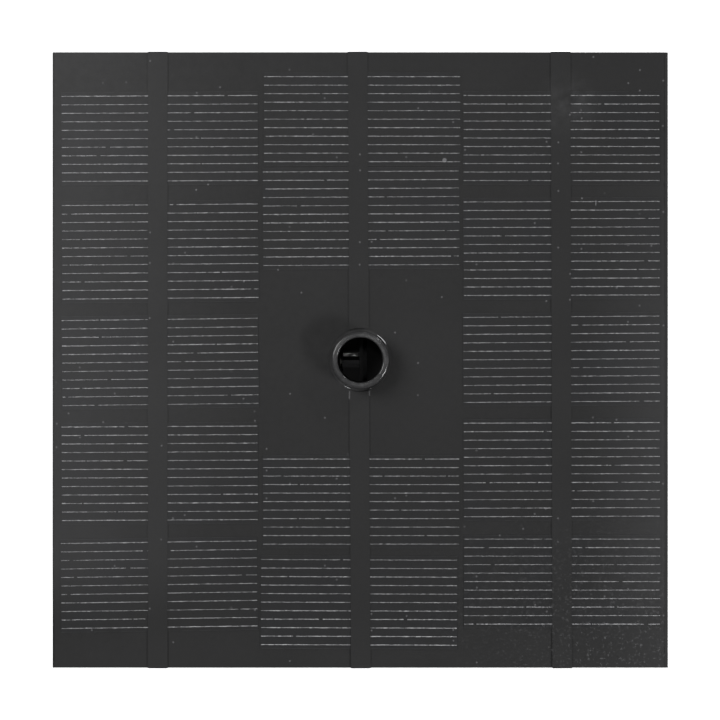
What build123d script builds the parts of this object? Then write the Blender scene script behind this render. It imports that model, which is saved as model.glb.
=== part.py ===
from build123d import *
import os
from math import cos, radians, sin

# Floating solar fountain pump: a square solar panel on a float tray, with a small
# brushless pump under its middle, a slotted filter cover and four suction cups.
# Millimetres, +Z up, z = 0 on the suction cup lips, riser tube on the Z axis.

# Solar panel
PANEL = 160.0
PANEL_BOTTOM = 50.0
SUBSTRATE = 2.0
SHEET = 0.15
CELL_THICKNESS = 0.2
RIBBON = 0.15
RIBBON_WIDTH = 1.5
RIBBON_LAP = 1.0
RIBBON_TAIL = 2.0
RIBBON_GAP = 0.06
STRIP_THICKNESS = 0.2
STRIP_WIDTH = 5.1
STRIP_LENGTH = 160.3
FILM_TOP = 53.0
FILM_LAND = 0.03
FILM_LAND_LENGTH = 158.0
FILM_GAP = 0.02
FILM_RIM = 0.3
FILM_LEFT = -79.7
FILM_RIGHT = 79.2
SUBSTRATE_HOLE_R = 8.0
FILM_HOLE_R = 8.3
SEALANT_RISE = 0.5
JUNCTION_LENGTH = 20.0
JUNCTION_WIDTH = 13.0
JUNCTION_HEIGHT = 4.0
JUNCTION_WALL = 1.2
CELL_WIDTH = 51.2
FINGER_PITCH = 2.21

# Strings of cells, laid by hand: sideways shift and height of the cell's middle, finger count
# and tilt in degrees.
LEFT_CELLS = [
    (0.1, 57.6, 11, 0.3),
    (0.2, 28.2, 12, 0.5),
    (0.2, -0.5, 11, 0.7),
    (0.1, -29.45, 12, 0.3),
    (-0.05, -58.4, 11, 0.8),
]
UPPER_CELLS = [(0.35, 62.6, 11, 0.0), (0.1, 36.85, 12, 0.3)]
LOWER_CELLS = [(0.1, -36.8, 11, 0.0), (-0.45, -63.0, 11, -0.2)]
RIGHT_CELLS = [
    (0.05, 57.7, 11, 0.0),
    (0.1, 29.0, 12, 0.2),
    (0.05, 0.2, 11, 0.4),
    (0.15, -28.5, 12, 0.2),
    (0.2, -57.6, 11, 0.0),
]
STRINGS = [
    (-52.2, -52.6, LEFT_CELLS),
    (0.15, -0.25, UPPER_CELLS),
    (0.15, -0.25, LOWER_CELLS),
    (52.3, 52.3, RIGHT_CELLS),
]
STRIPS = [("left", -52.6, 0.0), ("centre", -0.25, 0.3), ("right", 52.3, 0.15)]

# Float tray
TRAY = 158.0
TRAY_BOTTOM = 40.0
TRAY_WALL = 1.8
TRAY_CORNER_R = 4.0
TRAY_EDGE_R = 1.2
UNDER_RIB = 2.6
RIB_LENGTH = 152.0
DIAGONAL_RIB = 206.0
RING_RIB_R = 62.0
WELL = 66.0
RIB = 1.6
SKIRT_BOTTOM = 33.0
SKIRT_R = 37.0
SKIRT_BORE_R = 35.2
SLEEVE_R = 9.4
FOAM_CLEARANCE = 0.7

# Riser tube
TUBE_R = 7.4
TUBE_TOP = 60.0
TUBE_BORE_R = 5.85
PASSAGE_R = 5.6
TUBE_EDGE_R = 0.6
TUBE_MOUTH_EDGE_R = 0.3
TUBE_HOLE_R = 7.6
BORE_FLOOR = 38.6

# Pump, turned about an axis along X
AXIS_Z = 24.5
CASING_R = 14.5
CASING_FRONT = -8.6
CASING_REAR = 22.6
CAP_REAR = 24.0
CAP_EDGE_R = 0.8
CAP_RING_R = 10.0
CAP_RING_BORE_R = 7.0
CAP_RECESS = 0.5
GUSSETS = (-5.0, 4.0, 14.0)
GUSSET_BOTTOM = 28.5
CHAMBER_R = 11.0
CHAMBER_FRONT = -5.4
CHAMBER_REAR = 1.8
SEAT_R = 12.3
GROOVE_R = 13.4
GROOVE_FRONT = -7.7
GROOVE_REAR = -6.5
STOP_R = 13.0
STOP_DEPTH = 1.8
STOP_WIDTH = 2.0
ENTRY_DEPTH = 2.6
WELL_R = 6.9
WELL_WALL = 1.0
WELL_REAR = 15.6
WELL_END = 17.2
MOTOR_R = 13.0
MOTOR_FRONT = 3.2
FLANGE_BOTTOM = 38.0
FLANGE_LENGTH = 44.0
FLANGE_WIDTH = 32.0
FLANGE_X = 4.0
FLANGE_CORNER_R = 5.0
SCREW_X = 18.5
SCREW_Y = 12.0
SCREW_R = 1.25
SCREW_TOP = 46.0
SCREW_HEAD_R = 2.6
SCREW_HEAD = 1.8
SCREW_HEAD_EDGE_R = 0.9
SCREW_POINT_GAP = 0.4
CROSS_LENGTH = 2.8
CROSS_WIDTH = 0.7
CROSS_DEPTH = 1.1
BOSS_R = 3.2
BOSS_TOP = 47.0
SEAL_RING_R = 9.0
SEAL_CORD_R = 0.6

# Rotor and shaft
SHAFT_R = 1.0
SHAFT_FRONT = -7.6
ROTOR_BORE_R = 1.05
SLEEVE_OUTER_R = 2.4
ROTOR_FRONT = -4.8
ROTOR_REAR = 14.6
IMPELLER_R = 9.5
BLADE_FRONT = -4.6
BLADE_REAR = -0.2
DISC_REAR = 0.8
BLADE_THICKNESS = 0.9
BLADE_COUNT = 6
BLADE_START = 21.2
BLADE_ROOT_R = 2.0
ROTOR_SHOULDER_R = 5.2
MAGNET_R = 6.3
MAGNET_FRONT = 2.4
MAGNET_REAR = 14.4
REAR_BUSH_FRONT = 14.9
REAR_BUSH_REAR = 16.2
FRONT_BUSH_R = 1.8
FRONT_BUSH_BORE_R = 1.03
FRONT_BUSH_FRONT = -7.8
FRONT_BUSH_REAR = -5.2

# Volute cover, held by three bayonet lugs
COVER_R = 12.2
COVER_FRONT = -7.7
HUB_FRONT = -8.4
HUB_R = 2.8
INTAKE_R = 6.6
LUG_R = 13.3
LUG_FRONT = -7.6
LUG_REAR = -6.6
LUG_WIDTH = 4.6
LUG_START = 90.0
LUG_TURN = 25.0
LUG_STOP = 15.5
LUG_DEPTH = 3.0
LUG_PLAY = 0.6
SPOKE_WIDTH = 1.4
SPOKE_OVERLAP = 0.8
GRIP_R = 9.4
GRIP_LENGTH = 4.2
GRIP_WIDTH = 1.6
GRIP_HEIGHT = 1.4
O_RING_CORD_R = 0.4
O_RING_X = -5.95

# Motor
CORE_FRONT = 4.5
CORE_LENGTH = 9.0
CORE_BORE_R = 8.0
SHOE_R = 9.0
YOKE_R = 11.4
TOOTH_WIDTH = 3.2
COIL_INNER_R = 9.1
COIL_DEPTH = 1.8
COIL_BUILD = 1.2
COIL_END = 1.1
COIL_CORNER_R = 1.0
POLE_GAP = 3.0
POLE_GAP_DEPTH = 2.4
BOARD_FRONT = 17.2
BOARD_REAR = 18.8
BOARD_R = 12.8
# Components on the driver board: y, height above the axis, depth, width and height of each
BOARD_PARTS = [(-10.2, -2.5, 1.4, 3.6, 5.0), (9.8, 1.0, 1.2, 2.0, 1.4), (9.8, -3.0, 1.2, 2.0, 1.4)]
HALL_THICKNESS = 1.6
HALL_WIDTH = 4.0
HALL_HEIGHT = 3.0
HALL_Z = 33.1
POTTING_REAR = 21.6
LEAD_X = 20.2
LEAD_Y = 2.5
LEAD_R = 0.65
LEAD_END_Z = 31.0
LEAD_BEND_R = 1.0
LEAD_ENTRY_Z = 32.5
GROMMET_LENGTH = 8.4
GROMMET_WIDTH = 3.4
GROMMET_LIP = 1.0

# Filter cover, sponge and suction cups
BASKET_R = 35.0
BASKET_BORE_R = 33.0
BASKET_BOTTOM = 7.0
BASKET_FLOOR = 2.0
BASKET_TOP = 39.7
BEAD_R = 37.0
BEAD_BOTTOM = 31.6
TAB_LENGTH = 15.0
TAB_WIDTH = 8.0
TAB_CORNER_R = 2.0
BASKET_EDGE_R = 1.2
SLOT_COUNT = 36
SLOT_WIDTH = 2.2
SLOT_BOTTOM = 12.0
SLOT_HEIGHT = 17.5
SLOT_CUT = 4.0
FLOOR_SLOT_STEP = 15
FLOOR_SLOT_R = 22.0
FLOOR_SLOT_LENGTH = 14.0
FLOOR_SLOT_WIDTH = 1.8
FLOOR_SLOT_PITCH = 5.0
SPONGE_R = 32.8
SPONGE_BORE_R = 29.0
SPONGE_TOP = 37.0
CUP_R = 10.0
CUP_SPACING = 29.7
CUP_NECK_R = 2.0
CUP_HOLLOW = [(0, 2.4), (5.0, 1.7), (9.0, 0)]
CUP_OUTSIDE = [(CUP_R, 0.6), (6.4, 2.7), (4.3, 5.2)]
CUP_SHOULDER_R = 4.0
CUP_BUTTON_R = 3.2
CUP_BUTTON_TIP_R = 1.5
CUP_BUTTON_EDGE = 0.7
CUP_BUTTON_HEIGHT = 2.4

SHEET_TOP = PANEL_BOTTOM + SUBSTRATE + SHEET
CELL_TOP = SHEET_TOP + CELL_THICKNESS
BASKET_FLOOR_TOP = BASKET_BOTTOM + BASKET_FLOOR
TRAY_FLOOR_TOP = TRAY_BOTTOM + TRAY_WALL
SCREW_PLACES = [
    Location((FLANGE_X + side_x * SCREW_X, side_y * SCREW_Y, 0)) for side_x in (-1, 1) for side_y in (-1, 1)
]

os.makedirs("parts", exist_ok=True)


def save(part, name):
    part.label = name
    export_step(part, "parts/" + name + ".step")


def disc_about_axis(front, rear, radius, bore=0.0, mode=Mode.ADD):
    """A disc or ring on the pump's axis, between two stations along X."""
    with BuildSketch(Plane.YZ.offset(front)) as ring:
        with Locations((0, AXIS_Z)):
            Circle(radius)
            if bore:
                Circle(bore, mode=Mode.SUBTRACT)
    extrude(ring.sketch, amount=rear - front, mode=mode)


def slab(x, y, z, length, width, height, mode=Mode.ADD):
    """A box with its centre at x, y and its underside at z."""
    with Locations((x, y, z)):
        Box(length, width, height, align=(Align.CENTER, Align.CENTER, Align.MIN), mode=mode)


def cell_height(fingers):
    return fingers * FINGER_PITCH


def ribbon_blocks(x, cells):
    """Flat ribbons of one string: each runs under a cell, up through the gap and over the next."""
    low = PANEL_BOTTOM + SUBSTRATE
    _, first_y, first_fingers, _ = cells[0]
    under_start = first_y + cell_height(first_fingers) / 2 + RIBBON_TAIL
    for _, y, fingers, _ in cells:
        over_start = y + cell_height(fingers) / 2 - RIBBON_LAP
        bottom = y - cell_height(fingers) / 2
        under_end = bottom + RIBBON_LAP
        drop = bottom - RIBBON_GAP
        slab(x, (under_start + under_end) / 2, low, RIBBON_WIDTH, under_start - under_end, RIBBON)
        slab(x, (over_start + drop) / 2, CELL_TOP, RIBBON_WIDTH, over_start - drop, RIBBON)
        slab(x, drop - RIBBON / 2, low, RIBBON_WIDTH, RIBBON, CELL_TOP + RIBBON - low)
        under_start = drop


# ---------------------------------------------------------------- solar panel
with BuildPart() as panel_substrate:
    slab(0, 0, PANEL_BOTTOM, PANEL, PANEL, SUBSTRATE)
    with BuildSketch(Plane.XY.offset(PANEL_BOTTOM)):
        Circle(SUBSTRATE_HOLE_R)
    extrude(amount=SUBSTRATE, mode=Mode.SUBTRACT)
save(panel_substrate.part, "panel_substrate")

with BuildPart() as tabbing_ribbons:
    for _, ribbon_x, string in STRINGS:
        ribbon_blocks(ribbon_x, string)
save(tabbing_ribbons.part, "tabbing_ribbons")

with BuildPart() as panel_backing_sheet:
    slab(0, 0, PANEL_BOTTOM + SUBSTRATE, PANEL, PANEL, SHEET)
    with BuildSketch(Plane.XY.offset(PANEL_BOTTOM + SUBSTRATE)):
        Circle(SUBSTRATE_HOLE_R)
    extrude(amount=SHEET, mode=Mode.SUBTRACT)
    add(tabbing_ribbons.part, mode=Mode.SUBTRACT)
save(panel_backing_sheet.part, "panel_backing_sheet")

solar_cells = []
for cell_x, _, string in STRINGS:
    for cell_shift, cell_y, finger_count, cell_tilt in string:
        with BuildPart() as solar_cell:
            with Locations(Location((cell_x + cell_shift, cell_y, SHEET_TOP), (0, 0, cell_tilt))):
                Box(
                    CELL_WIDTH,
                    cell_height(finger_count),
                    CELL_THICKNESS,
                    align=(Align.CENTER, Align.CENTER, Align.MIN),
                )
        solar_cells.append(solar_cell.part)
        save(solar_cell.part, f"solar_cell_{len(solar_cells):02d}")

busbar_strips = []
for strip_name, strip_x, strip_tilt in STRIPS:
    with BuildPart() as busbar_strip:
        with Locations(Location((strip_x, 0, CELL_TOP), (0, 0, strip_tilt))):
            Box(
                STRIP_WIDTH,
                STRIP_LENGTH,
                STRIP_THICKNESS,
                align=(Align.CENTER, Align.CENTER, Align.MIN),
            )
        with BuildSketch(Plane.XY.offset(CELL_TOP)):
            Circle(FILM_HOLE_R)
        extrude(amount=STRIP_THICKNESS, mode=Mode.SUBTRACT)
        add(tabbing_ribbons.part, mode=Mode.SUBTRACT)
    busbar_strips.append(busbar_strip.part)
    save(busbar_strip.part, "busbar_strip_" + strip_name)

with BuildPart() as front_film:
    slab((FILM_LEFT + FILM_RIGHT) / 2, 0, SHEET_TOP, FILM_RIGHT - FILM_LEFT, PANEL, FILM_TOP - SHEET_TOP)
    # The film stands slightly proud where it passes over the strips
    for _, strip_x, strip_tilt in STRIPS:
        with Locations(Location((strip_x, 0, FILM_TOP), (0, 0, strip_tilt))):
            Box(
                STRIP_WIDTH,
                FILM_LAND_LENGTH,
                FILM_LAND,
                align=(Align.CENTER, Align.CENTER, Align.MIN),
            )
    # It is stuck down along its rim alone, and lies a hair above the sheet, the cells and the strips
    slab(
        (FILM_LEFT + FILM_RIGHT) / 2,
        0,
        SHEET_TOP,
        FILM_RIGHT - FILM_LEFT - 2 * FILM_RIM,
        PANEL - 2 * FILM_RIM,
        FILM_GAP,
        Mode.SUBTRACT,
    )
    add([piece.moved(Location((0, 0, FILM_GAP))) for piece in solar_cells], mode=Mode.SUBTRACT)
    add([piece.moved(Location((0, 0, FILM_GAP))) for piece in busbar_strips], mode=Mode.SUBTRACT)
    add(solar_cells, mode=Mode.SUBTRACT)
    add(busbar_strips, mode=Mode.SUBTRACT)
    add(tabbing_ribbons.part, mode=Mode.SUBTRACT)
    with BuildSketch(Plane.XY.offset(SHEET_TOP)):
        Circle(FILM_HOLE_R)
    extrude(amount=FILM_TOP + FILM_LAND - SHEET_TOP, mode=Mode.SUBTRACT)
save(front_film.part, "front_film")

with BuildPart() as riser_sealant:
    with BuildSketch(Plane.XY.offset(PANEL_BOTTOM)):
        Circle(SUBSTRATE_HOLE_R)
        Circle(TUBE_R, mode=Mode.SUBTRACT)
    extrude(amount=SUBSTRATE + SEALANT_RISE)
save(riser_sealant.part, "riser_sealant")

with BuildPart() as junction_box:
    slab(LEAD_X, 0, PANEL_BOTTOM - JUNCTION_HEIGHT, JUNCTION_LENGTH, JUNCTION_WIDTH, JUNCTION_HEIGHT)
    slab(
        LEAD_X,
        0,
        PANEL_BOTTOM - JUNCTION_HEIGHT + JUNCTION_WALL,
        JUNCTION_LENGTH - 2 * JUNCTION_WALL,
        JUNCTION_WIDTH - 2 * JUNCTION_WALL,
        JUNCTION_HEIGHT - JUNCTION_WALL,
        Mode.SUBTRACT,
    )
    with BuildSketch(Plane.XY.offset(PANEL_BOTTOM - JUNCTION_HEIGHT)):
        with Locations((LEAD_X, LEAD_Y), (LEAD_X, -LEAD_Y)):
            Circle(LEAD_R)
    extrude(amount=JUNCTION_WALL, mode=Mode.SUBTRACT)
save(junction_box.part, "junction_box")

# ----------------------------------------------------------------- float tray
INNER = TRAY - 2 * TRAY_WALL
TRAY_DEPTH = PANEL_BOTTOM - TRAY_FLOOR_TOP

with BuildPart() as float_tray:
    with BuildSketch(Plane.XY.offset(TRAY_BOTTOM)):
        RectangleRounded(TRAY, TRAY, TRAY_CORNER_R)
    extrude(amount=PANEL_BOTTOM - TRAY_BOTTOM)
    fillet(float_tray.faces().sort_by(Axis.Z)[0].edges(), radius=TRAY_EDGE_R)
    with BuildSketch(Plane.XY.offset(TRAY_FLOOR_TOP)):
        RectangleRounded(INNER, INNER, TRAY_CORNER_R - TRAY_WALL)
    extrude(amount=TRAY_DEPTH, mode=Mode.SUBTRACT)
    # Walls of the middle well and the four walls that part the foam blocks
    with BuildSketch(Plane.XY.offset(TRAY_FLOOR_TOP)):
        Rectangle(WELL, WELL)
        Rectangle(WELL - 2 * RIB, WELL - 2 * RIB, mode=Mode.SUBTRACT)
        Circle(SLEEVE_R)
        for quarter in range(4):
            with Locations(Location((0, 0, 0), (0, 0, 90 * quarter))):
                with Locations((WELL / 2 - RIB / 2, (WELL + INNER) / 4)):
                    Rectangle(RIB, (INNER - WELL) / 2)
    extrude(amount=TRAY_DEPTH)
    # Screw bosses inside the well
    with BuildSketch(Plane.XY.offset(TRAY_FLOOR_TOP)):
        with Locations(SCREW_PLACES):
            Circle(BOSS_R)
    extrude(amount=BOSS_TOP - TRAY_FLOOR_TOP)
    # Ribs under the floor and the round skirt that takes the filter cover
    with BuildSketch(Plane.XY.offset(TRAY_BOTTOM - UNDER_RIB)):
        Circle(RING_RIB_R)
        Circle(RING_RIB_R - RIB, mode=Mode.SUBTRACT)
        for turn, rib_length in ((0, RIB_LENGTH), (90, RIB_LENGTH), (45, DIAGONAL_RIB), (135, DIAGONAL_RIB)):
            with Locations(Location((0, 0, 0), (0, 0, turn))):
                Rectangle(rib_length, RIB)
    extrude(amount=UNDER_RIB)
    with BuildSketch(Plane.XY.offset(SKIRT_BOTTOM)):
        Circle(SKIRT_R)
    extrude(amount=TRAY_BOTTOM - SKIRT_BOTTOM)
    with BuildSketch(Plane.XY.offset(SKIRT_BOTTOM)):
        Circle(SKIRT_BORE_R)
    extrude(amount=TRAY_BOTTOM - SKIRT_BOTTOM, mode=Mode.SUBTRACT)
    # Hole for the riser tube, screw holes and slot for the lead grommet
    with BuildSketch(Plane.XY.offset(TRAY_BOTTOM)):
        Circle(TUBE_HOLE_R)
    extrude(amount=PANEL_BOTTOM - TRAY_BOTTOM, mode=Mode.SUBTRACT)
    with BuildSketch(Plane.XY.offset(TRAY_BOTTOM)):
        with Locations(SCREW_PLACES):
            Circle(SCREW_R)
    extrude(amount=SCREW_TOP - TRAY_BOTTOM, mode=Mode.SUBTRACT)
    with BuildSketch(Plane.XY.offset(TRAY_BOTTOM)):
        with Locations((LEAD_X, 0)):
            SlotOverall(GROMMET_LENGTH, GROMMET_WIDTH, rotation=90)
    extrude(amount=TRAY_WALL, mode=Mode.SUBTRACT)
save(float_tray.part, "float_tray")

FOAM_LENGTH = (INNER + WELL) / 2 - RIB
FOAM_WIDTH = (INNER - WELL) / 2
for quarter in range(4):
    with BuildPart() as float_foam:
        with Locations(Location((0, 0, TRAY_FLOOR_TOP), (0, 0, 90 * quarter))):
            with Locations((WELL / 2 - RIB - FOAM_LENGTH / 2, (INNER + WELL) / 4, 0)):
                Box(
                    FOAM_LENGTH - 2 * FOAM_CLEARANCE,
                    FOAM_WIDTH - 2 * FOAM_CLEARANCE,
                    TRAY_DEPTH,
                    align=(Align.CENTER, Align.CENTER, Align.MIN),
                )
    save(float_foam.part, f"float_foam_{quarter + 1}")

# ---------------------------------------------------------------- pump casing
with BuildPart() as pump_casing:
    disc_about_axis(CASING_FRONT, CASING_REAR, CASING_R)
    # Gusset ribs, mounting flange and riser tube
    for gusset_x in GUSSETS:
        slab(gusset_x, 0, GUSSET_BOTTOM, RIB, 2 * CASING_R, FLANGE_BOTTOM - GUSSET_BOTTOM)
    with BuildSketch(Plane.XY.offset(FLANGE_BOTTOM)):
        with Locations((FLANGE_X, 0)):
            RectangleRounded(FLANGE_LENGTH, FLANGE_WIDTH, FLANGE_CORNER_R)
    extrude(amount=TRAY_BOTTOM - FLANGE_BOTTOM)
    with BuildSketch(Plane.XY.offset(FLANGE_BOTTOM)):
        Circle(TUBE_R)
    extrude(amount=TUBE_TOP - FLANGE_BOTTOM)
    # Relief in the flange over the rear cap
    disc_about_axis(CASING_REAR, FLANGE_X + FLANGE_LENGTH / 2, CASING_R + 0.1, mode=Mode.SUBTRACT)
    # Volute chamber, cover seat and the bayonet's groove, stops and entries
    disc_about_axis(CHAMBER_FRONT, CHAMBER_REAR, CHAMBER_R, mode=Mode.SUBTRACT)
    disc_about_axis(CASING_FRONT, CHAMBER_FRONT, SEAT_R, mode=Mode.SUBTRACT)
    with BuildSketch(Plane.YZ.offset(GROOVE_FRONT)):
        with Locations((0, AXIS_Z)):
            Circle(GROOVE_R)
            for stop in (LUG_START - LUG_STOP, LUG_START + LUG_TURN + LUG_STOP):
                with PolarLocations(STOP_R, 3, start_angle=stop):
                    Rectangle(STOP_DEPTH, STOP_WIDTH, mode=Mode.SUBTRACT)
    extrude(amount=GROOVE_REAR - GROOVE_FRONT, mode=Mode.SUBTRACT)
    with BuildSketch(Plane.YZ.offset(CASING_FRONT)):
        with Locations((0, AXIS_Z)):
            with PolarLocations(SEAT_R, 3, start_angle=LUG_START + LUG_TURN):
                Rectangle(ENTRY_DEPTH, LUG_WIDTH + LUG_PLAY)
            Circle(GROOVE_R, mode=Mode.INTERSECT)
    extrude(amount=GROOVE_REAR - CASING_FRONT, mode=Mode.SUBTRACT)
    # Rotor well with the pocket for the rear bush
    disc_about_axis(CHAMBER_REAR, WELL_REAR, WELL_R, mode=Mode.SUBTRACT)
    disc_about_axis(WELL_REAR, REAR_BUSH_REAR, SLEEVE_OUTER_R, mode=Mode.SUBTRACT)
    # Dry motor room round and behind the rotor well
    disc_about_axis(MOTOR_FRONT, WELL_END, MOTOR_R, WELL_R + WELL_WALL, mode=Mode.SUBTRACT)
    disc_about_axis(WELL_END, CASING_REAR, MOTOR_R, mode=Mode.SUBTRACT)
    # Riser bore, stepped over the motor room and open to the chamber
    with BuildSketch(Plane.XY.offset(BORE_FLOOR)):
        Circle(TUBE_BORE_R)
    extrude(amount=TUBE_TOP - BORE_FLOOR, mode=Mode.SUBTRACT)
    with BuildSketch(Plane.XY.offset(AXIS_Z)):
        Circle(PASSAGE_R)
        with Locations(((CHAMBER_FRONT + CHAMBER_REAR) / 2, 0)):
            Rectangle(CHAMBER_REAR - CHAMBER_FRONT, 2 * CHAMBER_R, mode=Mode.INTERSECT)
    extrude(amount=BORE_FLOOR - AXIS_Z, mode=Mode.SUBTRACT)
    # Lead entry, screw holes and groove for the seal ring
    with BuildSketch(Plane.XY.offset(LEAD_ENTRY_Z)):
        with Locations((LEAD_X, 0)):
            SlotOverall(GROMMET_LENGTH, GROMMET_WIDTH, rotation=90)
    extrude(amount=TRAY_BOTTOM - LEAD_ENTRY_Z, mode=Mode.SUBTRACT)
    with BuildSketch(Plane.XY.offset(FLANGE_BOTTOM)):
        with Locations(SCREW_PLACES):
            Circle(SCREW_R)
    extrude(amount=TRAY_BOTTOM - FLANGE_BOTTOM, mode=Mode.SUBTRACT)
    with BuildSketch(Plane.XY.offset(TRAY_BOTTOM - 2 * SEAL_CORD_R)):
        Circle(SEAL_RING_R + SEAL_CORD_R)
        Circle(SEAL_RING_R - SEAL_CORD_R, mode=Mode.SUBTRACT)
    extrude(amount=2 * SEAL_CORD_R, mode=Mode.SUBTRACT)
    # Rounded rim of the tube
    for rim_radius, rounding in ((TUBE_R, TUBE_EDGE_R), (TUBE_BORE_R, TUBE_MOUTH_EDGE_R)):
        fillet(
            pump_casing.edges().filter_by(GeomType.CIRCLE).filter_by(
                lambda edge: edge.center().Z > TUBE_TOP - 0.1 and abs(edge.radius - rim_radius) < 0.1
            ),
            radius=rounding,
        )
save(pump_casing.part, "pump_casing")

with BuildPart() as riser_seal_ring:
    with BuildSketch(Plane.XZ):
        with Locations((SEAL_RING_R, TRAY_BOTTOM - SEAL_CORD_R)):
            Circle(SEAL_CORD_R - 0.01)
    revolve(axis=Axis.Z)
save(riser_seal_ring.part, "riser_seal_ring")

with BuildPart() as pump_screws:
    with BuildSketch(Plane.XY.offset(FLANGE_BOTTOM - SCREW_HEAD)):
        with Locations(SCREW_PLACES):
            Circle(SCREW_HEAD_R)
    extrude(amount=SCREW_HEAD)
    fillet(pump_screws.faces().sort_by(Axis.Z)[0:4].edges(), radius=SCREW_HEAD_EDGE_R)
    with BuildSketch(Plane.XY.offset(FLANGE_BOTTOM)):
        with Locations(SCREW_PLACES):
            Circle(SCREW_R)
    extrude(amount=SCREW_TOP - FLANGE_BOTTOM - SCREW_POINT_GAP)
    with BuildSketch(Plane.XY.offset(FLANGE_BOTTOM - SCREW_HEAD)):
        with Locations(SCREW_PLACES):
            Rectangle(CROSS_LENGTH, CROSS_WIDTH)
            Rectangle(CROSS_WIDTH, CROSS_LENGTH)
    extrude(amount=CROSS_DEPTH, mode=Mode.SUBTRACT)
save(pump_screws.part, "pump_screws")

with BuildPart() as motor_rear_cap:
    disc_about_axis(CASING_REAR, CAP_REAR, CASING_R)
    disc_about_axis(POTTING_REAR, CASING_REAR, MOTOR_R)
    fillet(
        motor_rear_cap.edges().filter_by(GeomType.CIRCLE).filter_by(
            lambda edge: edge.center().X > CAP_REAR - 0.1
        ),
        radius=CAP_EDGE_R,
    )
    disc_about_axis(CAP_REAR - CAP_RECESS, CAP_REAR, CAP_RING_R, CAP_RING_BORE_R, mode=Mode.SUBTRACT)
save(motor_rear_cap.part, "motor_rear_cap")

# ---------------------------------------------------------------------- motor
with BuildPart() as stator_core:
    with BuildSketch(Plane.YZ.offset(CORE_FRONT)):
        with Locations((0, AXIS_Z)):
            Circle(MOTOR_R)
            Circle(YOKE_R, mode=Mode.SUBTRACT)
            Circle(SHOE_R)
            Circle(CORE_BORE_R, mode=Mode.SUBTRACT)
            with PolarLocations((CORE_BORE_R + SHOE_R) / 2, 4, start_angle=45):
                Rectangle(POLE_GAP_DEPTH, POLE_GAP, mode=Mode.SUBTRACT)
            with PolarLocations((SHOE_R + YOKE_R) / 2, 4):
                Rectangle(YOKE_R - SHOE_R + 1.0, TOOTH_WIDTH)
    extrude(amount=CORE_LENGTH)
save(stator_core.part, "stator_core")

for quarter in range(4):
    out_y = sin(radians(90 * quarter))
    out_z = cos(radians(90 * quarter))
    coil_plane = Plane(
        origin=(CORE_FRONT + CORE_LENGTH / 2, COIL_INNER_R * out_y, AXIS_Z + COIL_INNER_R * out_z),
        x_dir=(1, 0, 0),
        z_dir=(0, out_y, out_z),
    )
    with BuildPart() as stator_coil:
        with BuildSketch(coil_plane):
            RectangleRounded(CORE_LENGTH + 2 * COIL_END, TOOTH_WIDTH + 2 * COIL_BUILD, COIL_CORNER_R)
            Rectangle(CORE_LENGTH, TOOTH_WIDTH, mode=Mode.SUBTRACT)
        extrude(amount=COIL_DEPTH)
    save(stator_coil.part, f"stator_coil_{quarter + 1}")

with BuildPart() as driver_board:
    disc_about_axis(BOARD_FRONT, BOARD_REAR, BOARD_R)
    for part_y, part_z, depth, width, height in BOARD_PARTS:
        slab(BOARD_FRONT - depth / 2, part_y, AXIS_Z + part_z, depth, width, height)
save(driver_board.part, "driver_board")

with BuildPart() as hall_sensor:
    slab(BOARD_FRONT - HALL_THICKNESS / 2, 0, HALL_Z, HALL_THICKNESS, HALL_WIDTH, HALL_HEIGHT)
save(hall_sensor.part, "hall_sensor")


def lead_solid(side, mode=Mode.ADD):
    """A lead from the underside of the panel straight down, then in to the driver board."""
    turn = LEAD_BEND_R * (1 - cos(radians(45)))
    y = side * LEAD_Y
    with BuildLine() as route:
        down = Line((LEAD_X, y, PANEL_BOTTOM), (LEAD_X, y, LEAD_END_Z + LEAD_BEND_R))
        corner = ThreePointArc(
            down @ 1,
            (LEAD_X - turn, y, LEAD_END_Z + turn),
            (LEAD_X - LEAD_BEND_R, y, LEAD_END_Z),
        )
        Line(corner @ 1, (BOARD_REAR, y, LEAD_END_Z))
    with BuildSketch(Plane.XY.offset(PANEL_BOTTOM)) as section:
        with Locations((LEAD_X, y)):
            Circle(LEAD_R)
    sweep(section.sketch, path=route.line, mode=mode)


with BuildPart() as panel_lead_positive:
    lead_solid(1)
save(panel_lead_positive.part, "panel_lead_positive")

with BuildPart() as panel_lead_negative:
    lead_solid(-1)
save(panel_lead_negative.part, "panel_lead_negative")

with BuildPart() as potting_compound:
    disc_about_axis(BOARD_REAR, POTTING_REAR, MOTOR_R)
    lead_solid(1, Mode.SUBTRACT)
    lead_solid(-1, Mode.SUBTRACT)
save(potting_compound.part, "potting_compound")

with BuildPart() as lead_grommet:
    with BuildSketch(Plane.XY.offset(AXIS_Z + MOTOR_R)):
        with Locations((LEAD_X, 0)):
            SlotOverall(GROMMET_LENGTH, GROMMET_WIDTH, rotation=90)
    extrude(amount=TRAY_FLOOR_TOP - AXIS_Z - MOTOR_R)
    with BuildSketch(Plane.XY.offset(TRAY_FLOOR_TOP)):
        with Locations((LEAD_X, 0)):
            SlotOverall(GROMMET_LENGTH + 2 * GROMMET_LIP, GROMMET_WIDTH + 2 * GROMMET_LIP, rotation=90)
    extrude(amount=GROMMET_LIP)
    with BuildSketch(Plane.XY.offset(AXIS_Z + MOTOR_R)):
        with Locations((LEAD_X, LEAD_Y), (LEAD_X, -LEAD_Y)):
            Circle(LEAD_R)
    extrude(amount=TRAY_FLOOR_TOP + GROMMET_LIP - AXIS_Z - MOTOR_R, mode=Mode.SUBTRACT)
save(lead_grommet.part, "lead_grommet")

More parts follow.
